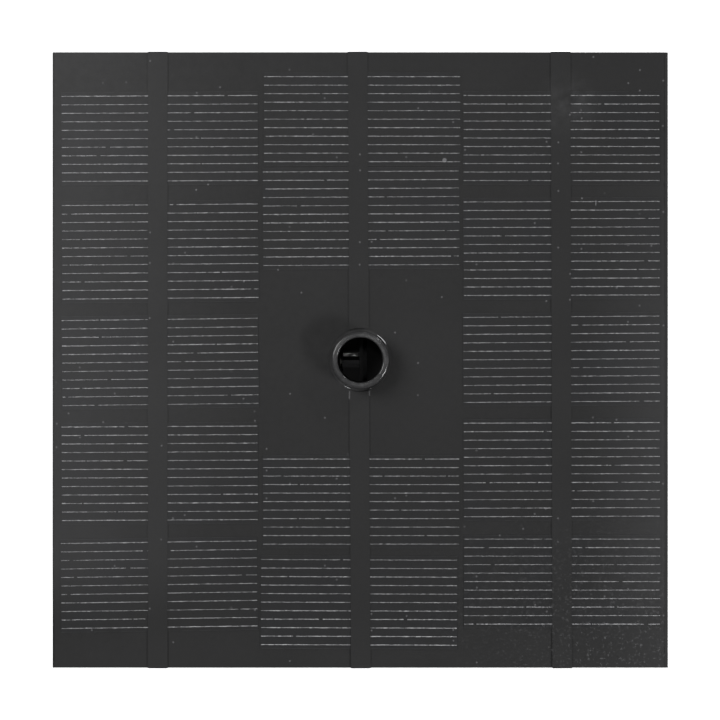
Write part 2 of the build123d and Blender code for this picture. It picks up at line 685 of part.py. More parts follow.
# ---------------------------------------------------------------------- rotor
with BuildPart() as impeller:
    disc_about_axis(ROTOR_FRONT, ROTOR_REAR, SLEEVE_OUTER_R)
    disc_about_axis(BLADE_REAR, DISC_REAR, IMPELLER_R)
    disc_about_axis(DISC_REAR, MAGNET_FRONT, ROTOR_SHOULDER_R)
    with BuildSketch(Plane.YZ.offset(BLADE_FRONT)):
        with Locations((0, AXIS_Z)):
            with PolarLocations((IMPELLER_R + BLADE_ROOT_R) / 2, BLADE_COUNT, start_angle=BLADE_START):
                Rectangle(IMPELLER_R - BLADE_ROOT_R, BLADE_THICKNESS)
    extrude(amount=BLADE_REAR - BLADE_FRONT)
    disc_about_axis(ROTOR_FRONT, ROTOR_REAR, ROTOR_BORE_R, mode=Mode.SUBTRACT)
save(impeller.part, "impeller")

with BuildPart() as rotor_magnet:
    disc_about_axis(MAGNET_FRONT, MAGNET_REAR, MAGNET_R, SLEEVE_OUTER_R)
save(rotor_magnet.part, "rotor_magnet")

with BuildPart() as rotor_shaft:
    disc_about_axis(SHAFT_FRONT, REAR_BUSH_REAR, SHAFT_R)
save(rotor_shaft.part, "rotor_shaft")

with BuildPart() as rear_bush:
    disc_about_axis(REAR_BUSH_FRONT, REAR_BUSH_REAR, SLEEVE_OUTER_R, SHAFT_R)
save(rear_bush.part, "rear_bush")

with BuildPart() as front_bush:
    disc_about_axis(FRONT_BUSH_FRONT, FRONT_BUSH_REAR, FRONT_BUSH_R, FRONT_BUSH_BORE_R)
save(front_bush.part, "front_bush")

# --------------------------------------------------------------- volute cover
with BuildPart() as volute_cover:
    with BuildSketch(Plane.YZ.offset(COVER_FRONT)):
        with Locations((0, AXIS_Z)):
            Circle(COVER_R)
            Circle(INTAKE_R, mode=Mode.SUBTRACT)
            Circle(HUB_R)
            with PolarLocations((HUB_R + INTAKE_R) / 2, 3, start_angle=30):
                Rectangle(INTAKE_R - HUB_R + SPOKE_OVERLAP, SPOKE_WIDTH)
    extrude(amount=CHAMBER_FRONT - COVER_FRONT)
    disc_about_axis(HUB_FRONT, COVER_FRONT, HUB_R)
    disc_about_axis(FRONT_BUSH_FRONT, CHAMBER_FRONT, FRONT_BUSH_R, mode=Mode.SUBTRACT)
    with BuildSketch(Plane.YZ.offset(COVER_FRONT - GRIP_HEIGHT)):
        with Locations((0, AXIS_Z)):
            with PolarLocations(GRIP_R, 2):
                Rectangle(GRIP_LENGTH, GRIP_WIDTH)
    extrude(amount=GRIP_HEIGHT)
    with BuildSketch(Plane.YZ.offset(LUG_FRONT)):
        with Locations((0, AXIS_Z)):
            with PolarLocations(COVER_R, 3, start_angle=LUG_START):
                Rectangle(LUG_DEPTH, LUG_WIDTH)
            Circle(LUG_R, mode=Mode.INTERSECT)
    extrude(amount=LUG_REAR - LUG_FRONT)
    disc_about_axis(
        O_RING_X - O_RING_CORD_R,
        O_RING_X + O_RING_CORD_R,
        SEAT_R,
        SEAT_R - 2 * O_RING_CORD_R,
        mode=Mode.SUBTRACT,
    )
save(volute_cover.part, "volute_cover")

with BuildPart() as cover_o_ring:
    with BuildSketch(Plane.XZ):
        with Locations((O_RING_X, AXIS_Z + SEAT_R - O_RING_CORD_R)):
            Circle(O_RING_CORD_R - 0.01)
    revolve(axis=Axis((0, 0, AXIS_Z), (1, 0, 0)))
save(cover_o_ring.part, "cover_o_ring")

# --------------------------------------------------------------- filter cover
CUP_PLACES = GridLocations(CUP_SPACING, CUP_SPACING, 2, 2).locations

with BuildPart() as filter_cover:
    with BuildSketch(Plane.XY.offset(BASKET_BOTTOM)):
        Circle(BASKET_R)
    extrude(amount=BASKET_TOP - BASKET_BOTTOM)
    with BuildSketch(Plane.XY.offset(BEAD_BOTTOM)):
        Circle(BEAD_R)
        with Locations((0, BEAD_R), (0, -BEAD_R)):
            RectangleRounded(TAB_LENGTH, TAB_WIDTH, TAB_CORNER_R)
    extrude(amount=SKIRT_BOTTOM - BEAD_BOTTOM)
    fillet(filter_cover.faces().sort_by(Axis.Z)[0].edges(), radius=BASKET_EDGE_R)
    with BuildSketch(Plane.XY.offset(BASKET_FLOOR_TOP)):
        Circle(BASKET_BORE_R)
    extrude(amount=BASKET_TOP - BASKET_FLOOR_TOP, mode=Mode.SUBTRACT)
    with BuildSketch(Plane.XY.offset(SLOT_BOTTOM)):
        with PolarLocations((BASKET_R + BASKET_BORE_R) / 2, SLOT_COUNT):
            Rectangle(SLOT_CUT, SLOT_WIDTH)
    extrude(amount=SLOT_HEIGHT, mode=Mode.SUBTRACT)
    with BuildSketch(Plane.XY.offset(BASKET_BOTTOM)):
        for slot_turn in range(0, 360, FLOOR_SLOT_STEP):
            if slot_turn % 90 != 45:
                with PolarLocations(FLOOR_SLOT_R, 1, start_angle=slot_turn):
                    SlotOverall(FLOOR_SLOT_LENGTH, FLOOR_SLOT_WIDTH)
        with GridLocations(FLOOR_SLOT_PITCH, 0, 3, 1):
            SlotOverall(FLOOR_SLOT_LENGTH, FLOOR_SLOT_WIDTH, rotation=90)
        with Locations(CUP_PLACES):
            Circle(CUP_NECK_R)
    extrude(amount=BASKET_FLOOR, mode=Mode.SUBTRACT)
save(filter_cover.part, "filter_cover")

with BuildPart() as filter_sponge:
    with BuildSketch(Plane.XY.offset(BASKET_FLOOR_TOP)):
        Circle(SPONGE_R)
        Circle(SPONGE_BORE_R, mode=Mode.SUBTRACT)
    extrude(amount=SPONGE_TOP - BASKET_FLOOR_TOP)
save(filter_sponge.part, "filter_sponge")

for cup_number, cup_place in enumerate(CUP_PLACES, start=1):
    with BuildPart() as cup_blank:
        with BuildSketch(Plane.XZ):
            with BuildLine():
                ThreePointArc(*CUP_HOLLOW)
                Polyline(CUP_HOLLOW[-1], (CUP_R, 0), CUP_OUTSIDE[0])
                ThreePointArc(*CUP_OUTSIDE)
                Polyline(
                    CUP_OUTSIDE[-1],
                    (CUP_SHOULDER_R, BASKET_BOTTOM),
                    (CUP_NECK_R, BASKET_BOTTOM),
                    (CUP_NECK_R, BASKET_FLOOR_TOP),
                    (CUP_BUTTON_R, BASKET_FLOOR_TOP),
                    (CUP_BUTTON_R, BASKET_FLOOR_TOP + CUP_BUTTON_EDGE),
                    (CUP_BUTTON_TIP_R, BASKET_FLOOR_TOP + CUP_BUTTON_HEIGHT),
                    (0, BASKET_FLOOR_TOP + CUP_BUTTON_HEIGHT),
                    CUP_HOLLOW[0],
                )
            make_face()
        revolve(axis=Axis.Z)
    suction_cup = cup_blank.part.moved(cup_place)
    save(suction_cup, f"suction_cup_{cup_number}")
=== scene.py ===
import math
import random

import bmesh
import bpy
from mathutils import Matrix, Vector, noise


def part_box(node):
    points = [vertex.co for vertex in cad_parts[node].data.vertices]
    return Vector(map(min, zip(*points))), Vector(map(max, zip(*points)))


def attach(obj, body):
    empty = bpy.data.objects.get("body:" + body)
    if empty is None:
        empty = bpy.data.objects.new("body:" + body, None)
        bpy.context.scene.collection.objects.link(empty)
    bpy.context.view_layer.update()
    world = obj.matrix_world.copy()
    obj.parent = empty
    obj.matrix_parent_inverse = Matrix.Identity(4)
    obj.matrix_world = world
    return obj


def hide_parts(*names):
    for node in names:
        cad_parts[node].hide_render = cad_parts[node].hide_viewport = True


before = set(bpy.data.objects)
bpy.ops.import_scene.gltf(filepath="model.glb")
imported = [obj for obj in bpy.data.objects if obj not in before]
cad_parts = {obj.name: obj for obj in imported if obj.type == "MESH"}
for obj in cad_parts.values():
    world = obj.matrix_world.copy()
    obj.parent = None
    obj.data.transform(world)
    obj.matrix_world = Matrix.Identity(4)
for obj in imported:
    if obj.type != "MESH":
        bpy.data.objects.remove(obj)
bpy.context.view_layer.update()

MM = 0.001
FLOAT_BODY = "float_and_pump"
BASKET_BODY = "filter_basket"

# The object's own sizes: finger pitch, riser tube and its bore, height of the pump's axis
FINGER_PITCH = 2.21 * MM
RISER_R = 7.4 * MM
BORE_R = 5.85 * MM
AXIS_HEIGHT = 24.5 * MM
TUBE_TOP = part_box("pump_casing")[1].z
PANEL_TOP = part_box("front_film")[1].z


# ------------------------------------------------------------------ camera and lights
CAMERA_HEIGHT = 0.9
CAMERA_SHIFT = -0.05 * MM
CLIP_START = 0.05
SENSOR = 36.0
FRAME_WIDTH = 0.187

AIM = (0, 0, 0.05)
ROOM_STRENGTH = 0.16
# Name, place, width and height, and power in watts
LIGHTS = (
    ("wide_softbox", (-0.56, 0.30, 0.84), (0.42, 0.60), 5.4),
    ("key_softbox", (0.62, -0.33, 0.62), (0.24, 0.10), 4.1),
    ("rim_lamp", (0.40, 0.44, 0.42), (0.08, 0.08), 0.7),
    ("overhead_lamp", (-0.01, 0.10, 1.0), (0.05, 0.05), 0.3),
)

FLOOR_SIZE = 8.0
FLOOR_DROP = 0.1 * MM
FLOOR_GREY = 0.93
FLOOR_GLOW = 0.88


def make_camera():
    """Straight above, far enough for the panel to look square and fill 86 % of the frame."""
    data = bpy.data.cameras.new("camera")
    data.sensor_width = SENSOR
    data.lens = SENSOR * CAMERA_HEIGHT / FRAME_WIDTH
    data.clip_start = CLIP_START
    camera = bpy.data.objects.new("camera", data)
    camera.location = (CAMERA_SHIFT, 0.0, PANEL_TOP + CAMERA_HEIGHT)
    bpy.context.scene.collection.objects.link(camera)
    bpy.context.scene.camera = camera


def area_light(name, place, size, power):
    data = bpy.data.lights.new(name, "AREA")
    data.shape = "RECTANGLE"
    data.size, data.size_y = size
    data.energy = power
    light = bpy.data.objects.new(name, data)
    light.location = place
    light.rotation_euler = (Vector(AIM) - Vector(place)).to_track_quat("-Z", "Y").to_euler()
    bpy.context.scene.collection.objects.link(light)


def make_lights():
    """A big soft box to the upper left, a key to the right, two small lamps and a dim room."""
    world = bpy.data.worlds.new("studio")
    world.use_nodes = True
    background = world.node_tree.nodes["Background"]
    background.inputs["Color"].default_value = (1.0, 1.0, 1.0, 1.0)
    background.inputs["Strength"].default_value = ROOM_STRENGTH
    bpy.context.scene.world = world
    bpy.context.scene.view_settings.view_transform = "Standard"
    for name, place, size, power in LIGHTS:
        area_light(name, place, size, power)


def make_floor():
    """A pale glowing floor just under the suction cups, clear when seen from below."""
    bpy.ops.mesh.primitive_plane_add(size=FLOOR_SIZE, location=(0, 0, -FLOOR_DROP))
    floor = bpy.context.object
    floor.name = "studio_floor"
    graph = Graph("studio_floor")
    graph.set(**{"Base Color": (FLOOR_GREY, FLOOR_GREY, FLOOR_GREY, 1.0), "Roughness": 0.9})
    graph.set(**{"Emission Color": (1.0, 1.0, 1.0, 1.0), "Emission Strength": FLOOR_GLOW})
    clear = graph.node("ShaderNodeBsdfTransparent").outputs[0]
    below = graph.node("ShaderNodeNewGeometry").outputs["Backfacing"]
    sides = graph.node("ShaderNodeMixShader", {0: below, 1: graph.shader.outputs[0], 2: clear})
    graph.feed(graph.tree.nodes["Material Output"].inputs["Surface"], sides.outputs[0])
    floor.data.materials.append(graph.material)


# --------------------------------------------------------------------- material graphs
STREAK_CORE = 0.6
COOL = 1.03


class Graph:
    """One material's node tree, with a short call for each kind of node used here."""

    def __init__(self, name):
        self.material = bpy.data.materials.new(name)
        self.material.use_nodes = True
        self.tree = self.material.node_tree
        self.shader = self.tree.nodes["Principled BSDF"]
        self.place = self.node("ShaderNodeTexCoord").outputs["Object"]

    def node(self, kind, inputs=None, **settings):
        made = self.tree.nodes.new(kind)
        for name, value in settings.items():
            setattr(made, name, value)
        for name, value in (inputs or {}).items():
            self.feed(made.inputs[name], value)
        return made

    def feed(self, socket, value):
        if isinstance(value, bpy.types.NodeSocket):
            self.tree.links.new(value, socket)
        else:
            socket.default_value = value

    def set(self, **inputs):
        for name, value in inputs.items():
            self.feed(self.shader.inputs[name], value)

    def stretched(self, scale):
        return self.node("ShaderNodeMapping", {"Vector": self.place, "Scale": scale}).outputs[0]

    def noise(self, scale, detail=2.0, rough=0.5, stretch=None):
        vector = self.stretched(stretch) if stretch else self.place
        made = self.node(
            "ShaderNodeTexNoise",
            {"Vector": vector, "Scale": scale, "Detail": detail, "Roughness": rough},
        )
        return made.outputs["Fac"]

    def voronoi(self, scale, feature="F1", dimensions="3D"):
        return self.node(
            "ShaderNodeTexVoronoi",
            {"Vector": self.place, "Scale": scale},
            feature=feature,
            voronoi_dimensions=dimensions,
        )

    def ramp(self, value, start, end, low=0.0, high=1.0):
        made = self.node(
            "ShaderNodeMapRange",
            {"Value": value, "From Min": start, "From Max": end, "To Min": low, "To Max": high},
        )
        return made.outputs[0]

    def math(self, operation, a, b=0.0):
        made = self.node("ShaderNodeMath", operation=operation)
        self.feed(made.inputs[0], a)
        self.feed(made.inputs[1], b)
        return made.outputs[0]

    def blend(self, factor, a, b):
        made = self.node("ShaderNodeMix", data_type="RGBA")
        self.feed(made.inputs[0], factor)
        self.feed(made.inputs[6], a)
        self.feed(made.inputs[7], b)
        return made.outputs[2]

    def bump(self, height, distance, strength=1.0, under=None):
        inputs = {"Height": height, "Distance": distance, "Strength": strength}
        if under is not None:
            inputs["Normal"] = under
        return self.node("ShaderNodeBump", inputs).outputs[0]

    def facet(self):
        """The face's own normal, for pieces made of large flat faces."""
        return self.node("ShaderNodeNewGeometry").outputs["True Normal"]

    def axis(self, name):
        return self.node("ShaderNodeSeparateXYZ", {"Vector": self.place}).outputs[name]

    def zone(self, span_x, span_y):
        """Rises from 0 to 1 along both spans, each a start and an end in millimetres."""
        rise_x = self.ramp(self.axis("X"), span_x[0] * MM, span_x[1] * MM)
        rise_y = self.ramp(self.axis("Y"), span_y[0] * MM, span_y[1] * MM)
        return self.math("MULTIPLY", rise_x, rise_y)

    def spot(self, x, y, radius, soft):
        """1 inside a round mark at x, y in millimetres, fading out over the share soft of its radius."""
        shift = self.node(
            "ShaderNodeVectorMath", {0: self.place, 1: (x * MM, y * MM, PANEL_TOP)}, operation="DISTANCE"
        )
        return self.ramp(shift.outputs["Value"], radius * MM, radius * MM * (1 - soft))

    def streak(self, x, y, half_x, half_y):
        """1 inside a small upright mark with the given half width and half height in millimetres."""
        along_x = self.math("ABSOLUTE", self.math("SUBTRACT", self.axis("X"), x * MM))
        along_y = self.math("ABSOLUTE", self.math("SUBTRACT", self.axis("Y"), y * MM))
        inside_x = self.ramp(along_x, half_x * MM, half_x * MM * STREAK_CORE)
        inside_y = self.ramp(along_y, half_y * MM, half_y * MM * STREAK_CORE)
        return self.math("MULTIPLY", inside_x, inside_y)


def grey(value):
    """A grey, a touch on the cool side."""
    return (value, value, value * COOL, 1.0)


def moulded_plastic(name, dark, light, roughness, grain=0.05):
    """Injection-moulded plastic: fine spark-eroded grain, slow tone changes and a little dust."""
    graph = Graph(name)
    cloud = graph.noise(55.0, 3.0)
    colour = graph.blend(graph.ramp(cloud, 0.35, 0.65), dark, light)
    flow = graph.noise(160.0, 2.0, stretch=(0.25, 1.0, 1.0))
    colour = graph.blend(graph.ramp(flow, 0.6, 0.72, 0.0, 0.35), colour, light)
    dust = graph.ramp(graph.noise(2400.0, 1.0), 0.74, 0.8, 0.0, 0.25)
    colour = graph.blend(dust, colour, (0.22, 0.22, 0.21, 1.0))
    graph.set(**{"Base Color": colour})
    graph.set(Roughness=graph.ramp(graph.noise(240.0, 3.0), 0.3, 0.7, roughness - 0.06, roughness + 0.08))
    skin = graph.bump(graph.noise(2600.0, 2.0), grain * MM, 0.6)
    graph.set(Normal=graph.bump(cloud, 0.12 * MM, 0.25, skin))
    return graph.material


BORE_SKIN = 0.05 * MM
BORE_SHADE_START = 3.0 * MM
BORE_SHADE_FULL = 12.0 * MM


def casing_material():
    """Black moulded casing, smooth outside, with painted shade darkening it down the riser's bore, where
    it is also made fully rough.
    """
    graph = Graph("casing_black")
    cloud = graph.noise(55.0, 3.0)
    colour = graph.blend(graph.ramp(cloud, 0.35, 0.65), grey(0.024), grey(0.034))
    scuff = graph.ramp(graph.noise(620.0, 3.0, 0.7), 0.50, 0.66, 0.0, 0.6)
    colour = graph.blend(scuff, colour, grey(0.075))
    square_x = graph.math("POWER", graph.axis("X"), 2.0)
    square_y = graph.math("POWER", graph.axis("Y"), 2.0)
    in_bore = graph.math("LESS_THAN", graph.math("ADD", square_x, square_y), (BORE_R + BORE_SKIN) ** 2)
    depth = graph.ramp(graph.axis("Z"), TUBE_TOP - BORE_SHADE_START, TUBE_TOP - BORE_SHADE_FULL)
    # Painted shade: down the bore the colour turns an even dark grey, from 3 to 12 mm below the top.
    darkening = graph.math("MULTIPLY", in_bore, depth)
    colour = graph.blend(darkening, colour, grey(0.025))
    graph.set(**{"Base Color": colour})
    wear = graph.ramp(graph.noise(240.0, 3.0), 0.3, 0.7, 0.11, 0.20)
    graph.set(Roughness=graph.math("MAXIMUM", wear, darkening))
    graph.set(Normal=graph.bump(graph.noise(1900.0, 2.0), 0.02 * MM, 0.4))
    return graph.material


# Radii from the pump's axis where the painted glint on the blades' tips starts and is full, and of the
# hub, which is painted lighter
TIP_START_R = 9.25 * MM
TIP_R = 9.4 * MM
HUB_R = 3.2 * MM
HUB_CORE_R = 2.2 * MM
BLADE_END = -0.5 * MM
BLADE_EDGE = 0.2 * MM


def impeller_material():
    """Dark impeller, with a painted glint on its blade tips and painted light on its hub."""
    graph = Graph("impeller_dark")
    rise = graph.math("SUBTRACT", graph.axis("Z"), AXIS_HEIGHT)
    across = graph.math("ADD", graph.math("POWER", rise, 2.0), graph.math("POWER", graph.axis("Y"), 2.0))
    tip = graph.ramp(graph.math("SQRT", across), TIP_START_R, TIP_R)
    on_blade = graph.ramp(graph.axis("X"), BLADE_END, BLADE_END - BLADE_EDGE)
    tone_mask = graph.math("MULTIPLY", tip, on_blade)
    # Painted glint: the blade tips turn near white, metallic and smooth, in broken dashes.
    tip_glint = graph.math("MULTIPLY", tone_mask, graph.ramp(graph.noise(420.0, 1.0), 0.42, 0.52, 0.25, 1.0))
    base = graph.blend(graph.ramp(graph.noise(120.0, 3.0), 0.35, 0.65), grey(0.09), grey(0.11))
    # Painted light: the hub is painted lighter, as light falling on it.
    hub_light = graph.ramp(graph.math("SQRT", across), HUB_R, HUB_CORE_R)
    base = graph.blend(graph.math("MULTIPLY", hub_light, 0.8), base, grey(0.30))
    graph.set(**{"Base Color": graph.blend(tip_glint, base, (0.85, 0.85, 0.84, 1.0))})
    graph.set(Metallic=graph.ramp(tip_glint, 0.0, 1.0, 0.0, 0.6))
    graph.set(**{"Roughness": graph.ramp(tip_glint, 0.0, 1.0, 0.75, 0.3), "Specular IOR Level": 0.25})
    graph.set(Normal=graph.bump(graph.noise(1500.0, 2.0), 0.02 * MM, 0.4))
    return graph.material


def board_material():
    """Black coated glass-fibre board, with its weave just showing."""
    graph = Graph("panel_board")
    threads = {"Vector": graph.place, "Scale": 420.0}
    weave_x = graph.node("ShaderNodeTexWave", threads, bands_direction="X")
    weave_y = graph.node("ShaderNodeTexWave", threads, bands_direction="Y")
    weave = graph.math("MAXIMUM", weave_x.outputs["Fac"], weave_y.outputs["Fac"])
    colour = graph.blend(graph.ramp(weave, 0.4, 1.0, 0.0, 0.5), grey(0.012), grey(0.022))
    colour = graph.blend(graph.ramp(graph.noise(70.0, 3.0), 0.45, 0.7, 0.0, 0.5), colour, grey(0.03))
    graph.set(**{"Base Color": colour})
    graph.set(Roughness=graph.ramp(graph.noise(300.0, 2.0), 0.3, 0.7, 0.38, 0.52))
    graph.set(Normal=graph.bump(weave, 0.03 * MM, 0.4, graph.facet()))
    return graph.material


def sheet_material():
    """Dark encapsulant between the cells."""
    graph = Graph("encapsulant_sheet")
    colour = graph.blend(graph.ramp(graph.noise(45.0, 4.0), 0.35, 0.65), grey(0.007), grey(0.011))
    colour = graph.blend(graph.ramp(graph.noise(1800.0, 2.0), 0.62, 0.75, 0.0, 0.2), colour, grey(0.03))
    graph.set(**{"Base Color": colour})
    graph.set(Roughness=graph.ramp(graph.noise(500.0, 2.0), 0.3, 0.7, 0.5, 0.65))
    graph.set(Normal=graph.bump(graph.noise(1500.0, 2.0), 0.02 * MM, 0.2, graph.facet()))
    return graph.material


def cell_material(name, seed):
    """Mono silicon, almost black, each cell a shade different from the next."""
    graph = Graph(name)
    shade = random.Random(seed).uniform(0.007, 0.010)
    blue = (shade, shade * 1.1, shade * 1.35, 1.0)
    colour = graph.blend(graph.ramp(graph.noise(60.0 + seed, 4.0), 0.35, 0.65), grey(shade), blue)
    colour = graph.blend(graph.ramp(graph.noise(2100.0, 2.0), 0.6, 0.75, 0.0, 0.2), colour, grey(0.03))
    graph.set(**{"Base Color": colour})
    graph.set(Roughness=graph.ramp(graph.noise(700.0, 3.0), 0.3, 0.7, 0.42, 0.6))
    graph.set(Normal=graph.bump(graph.noise(2500.0, 2.0), 0.015 * MM, 0.2, graph.facet()))
    return graph.material


def tape_material():
    """Black tape over the ribbons, smoother and a touch lighter than the cells."""
    graph = Graph("black_tape")
    colour = graph.blend(graph.ramp(graph.noise(38.0, 3.0), 0.35, 0.65), grey(0.010), grey(0.014))
    graph.set(**{"Base Color": colour})
    graph.set(Roughness=graph.ramp(graph.noise(600.0, 2.0), 0.3, 0.7, 0.5, 0.6))
    ripple = graph.noise(420.0, 2.0, stretch=(1.0, 0.2, 1.0))
    graph.set(Normal=graph.bump(ripple, 0.03 * MM, 0.2, graph.facet()))
    return graph.material


# Marks on the film in millimetres. Round ones: x, y, radius and soft share. Upright ones: x, y, half
# width and half height.
SMEAR = (54.0, 66.5, 9.5, 0.7)
# The round patch above the tube is no mark but a painted reflection of the overhead lamp, where the
# film's haze is thicker.
LAMP_REFLECTION = (-1.0, 14.5, 9.0, 0.95)
BLOB = (21.9, 51.9, 0.75, 0.4)
SPECKS = ((-39.5, 45.6), (-42.6, 44.2), (57.6, 42.0), (48.2, -38.6), (-30.2, 20.4))
SPECK_R = 0.32
SPECK_SOFT = 0.5
SCRATCH = (61.2, 40.8, 0.16, 0.9)
CREASES = ((-2.8, -9.1, 0.25, 1.4), (2.4, -8.6, 0.2, 0.9))
# How much of what lies below each kind of mark hides
FLECK_COVER = 0.45
MARK_COVER = 0.55
GRIT_GLINT_COVER = 0.40
CREASE_COVER = 0.42
SMEAR_COVER = 0.10
# How much thicker the haze is in the painted reflection of the overhead lamp
LAMP_REFLECTION_COVER = 0.06
# Painted shade: how much clearer the film is along the foot, so that the foot looks darker
FOOT_SHADE_CLEARING = 0.16
# How far below the panel's top the film's outer skin starts and ends
SKIN_START = 0.36 * MM
SKIN_END = 0.30 * MM


def film_marks(graph):
    """How much small marks lift the film's haze: random flecks, fine grit at the lower right painted pale
    as a painted highlight, and the larger marks.
    """
    flecks = graph.voronoi(330.0, dimensions="2D")
    fleck_size = graph.ramp(flecks.outputs["Distance"], 0.12, 0.05)
    fleck_chance = graph.node("ShaderNodeSeparateColor", {"Color": flecks.outputs["Color"]})
    fleck = graph.math("MULTIPLY", fleck_size, graph.ramp(fleck_chance.outputs[0], 0.93, 0.95))
    # Painted highlight: fine grit that shows pale only in the lower right zone, where it catches the
    # light.
    grit_glint_zone = graph.zone((0.0, 60.0), (-30.0, -75.0))
    grit_glint = graph.math("MULTIPLY", graph.ramp(graph.noise(1500.0, 2.0, 0.7), 0.56, 0.68), grit_glint_zone)
    marks = graph.math("MAXIMUM", graph.spot(*BLOB), graph.streak(*SCRATCH))
    for x, y in SPECKS:
        marks = graph.math("MAXIMUM", marks, graph.spot(x, y, SPECK_R, SPECK_SOFT))
    crease = graph.math("MAXIMUM", graph.streak(*CREASES[0]), graph.streak(*CREASES[1]))
    lift = graph.math("MULTIPLY", fleck, FLECK_COVER)
    for mark, strength in ((marks, MARK_COVER), (grit_glint, GRIT_GLINT_COVER), (crease, CREASE_COVER)):
        lift = graph.math("MAXIMUM", lift, graph.math("MULTIPLY", mark, strength))
    return lift


def film_material():
    """Matt see-through film: a thin grey haze with fine grain, dust, smears and a few old marks.

    It is painted paler towards the left and lower right edges, a painted reflection of the lamps, and it
    is clearer along the foot, which is painted shade that makes the foot look darker."""
    graph = Graph("matt_film")
    grain = graph.noise(2300.0, 2.0, 0.6)
    cloud = graph.noise(22.0, 4.0, 0.55)
    foot = graph.ramp(graph.axis("Y"), -60 * MM, -75 * MM)
    left = graph.zone((-30.0, -72.0), (-68.0, -52.0))
    right = graph.zone((58.0, 77.0), (60.0, 0.0))
    smear = graph.math(
        "MULTIPLY", graph.spot(*SMEAR), graph.ramp(graph.noise(260.0, 4.0, 0.6), 0.35, 0.7)
    )
    lift = film_marks(graph)

    cover = graph.math(
        "ADD", graph.ramp(grain, 0.3, 0.7, 0.24, 0.30), graph.ramp(cloud, 0.35, 0.65, -0.02, 0.03)
    )
    # Painted shade: the film is clearer along the foot, so the foot looks darker.
    cover = graph.math("SUBTRACT", cover, graph.math("MULTIPLY", foot, FOOT_SHADE_CLEARING))
    cover = graph.math("ADD", cover, graph.math("MULTIPLY", smear, SMEAR_COVER))
    # Painted reflection of the overhead lamp: a round patch of thicker haze above the tube.
    cover = graph.math("ADD", cover, graph.math("MULTIPLY", graph.spot(*LAMP_REFLECTION), LAMP_REFLECTION_COVER))
    cover = graph.math("MAXIMUM", cover, lift)
    outer = graph.ramp(graph.axis("Z"), PANEL_TOP - SKIN_START, PANEL_TOP - SKIN_END)

    colour = graph.blend(graph.ramp(cloud, 0.3, 0.7), grey(0.015), grey(0.020))
    # Painted reflection of the lamps: the film's colour turns paler towards the left and lower right
    # edges.
    colour = graph.blend(graph.math("MAXIMUM", left, right), colour, grey(0.07))
    colour = graph.blend(graph.math("MULTIPLY", smear, 0.8), colour, grey(0.11))
    # Flecks, marks and creases turn paler; in the lower right zone the paler grit is a painted highlight.
    colour = graph.blend(graph.math("MULTIPLY", lift, 1.3), colour, grey(0.32))
    graph.set(**{"Base Color": colour, "Alpha": graph.math("MULTIPLY", cover, outer)})

    right_sheen = graph.ramp(graph.axis("X"), -20 * MM, 40 * MM, 0.0, 0.04)
    sheen = graph.math("ADD", right_sheen, graph.math("MULTIPLY", foot, 0.10))
    rough = graph.ramp(graph.noise(160.0, 3.0), 0.3, 0.7, 0.42, 0.48)
    graph.set(Roughness=graph.math("SUBTRACT", rough, sheen))
    drape = graph.bump(graph.noise(48.0, 3.0), 0.25 * MM, 0.06, graph.facet())
    graph.set(Normal=graph.bump(grain, 0.008 * MM, 0.15, drape))
    return graph.material


def silver_material():
    """Printed silver paste, dull and uneven, thin in places."""
    graph = Graph("silver_paste")
    tone_mask = graph.noise(900.0, 3.0, 0.7)
    colour = graph.blend(graph.ramp(tone_mask, 0.4, 0.6), (0.34, 0.34, 0.35, 1.0), (0.73, 0.73, 0.75, 1.0))
    graph.set(**{"Base Color": colour, "Metallic": 0.35})
    graph.set(Roughness=graph.ramp(tone_mask, 0.3, 0.7, 0.6, 0.45))
    graph.set(Normal=graph.bump(graph.noise(6000.0, 1.0), 0.01 * MM, 0.6))
    return graph.material


def cut_edge_material():
    """The cut rim of a cell, where bare silicon catches a little light."""
    graph = Graph("cell_cut_edge")
    tone_mask = graph.noise(420.0, 3.0, 0.7)
    graph.set(**{"Base Color": graph.blend(graph.ramp(tone_mask, 0.35, 0.65), grey(0.015), grey(0.06))})
    graph.set(Roughness=graph.ramp(tone_mask, 0.3, 0.7, 0.5, 0.4))
    return graph.material


def metal_material(name, dark, light, roughness, scale, stretch, metallic=1.0):
    """Metal with fine drawn or ground lines along one way."""
    graph = Graph(name)
    lines = graph.noise(scale, 3.0, 0.6, stretch)
    darkening = graph.noise(130.0, 3.0)
    colour = graph.blend(graph.ramp(lines, 0.35, 0.65), dark, light)
    colour = graph.blend(graph.ramp(darkening, 0.55, 0.75, 0.0, 0.45), colour, dark)
    graph.set(**{"Base Color": colour, "Metallic": metallic})
    graph.set(Roughness=graph.ramp(lines, 0.3, 0.7, roughness - 0.08, roughness + 0.1))
    graph.set(Normal=graph.bump(lines, 0.02 * MM, 0.5))
    return graph.material


def winding_material():
    """Enamelled copper wire wound in neat turns."""
    graph = Graph("copper_winding")
    turns = graph.node(
        "ShaderNodeTexWave",
        {"Vector": graph.place, "Scale": 900.0, "Distortion": 1.5, "Detail": 1.0},
        bands_direction="DIAGONAL",
    )
    colour = graph.blend(turns.outputs["Fac"], (0.16, 0.045, 0.018, 1.0), (0.55, 0.21, 0.085, 1.0))
    graph.set(**{"Base Color": colour, "Metallic": 0.85})
    graph.set(Roughness=graph.ramp(graph.noise(300.0, 2.0), 0.3, 0.7, 0.28, 0.42))
    graph.set(Normal=graph.bump(turns.outputs["Fac"], 0.12 * MM, 0.8))
    return graph.material


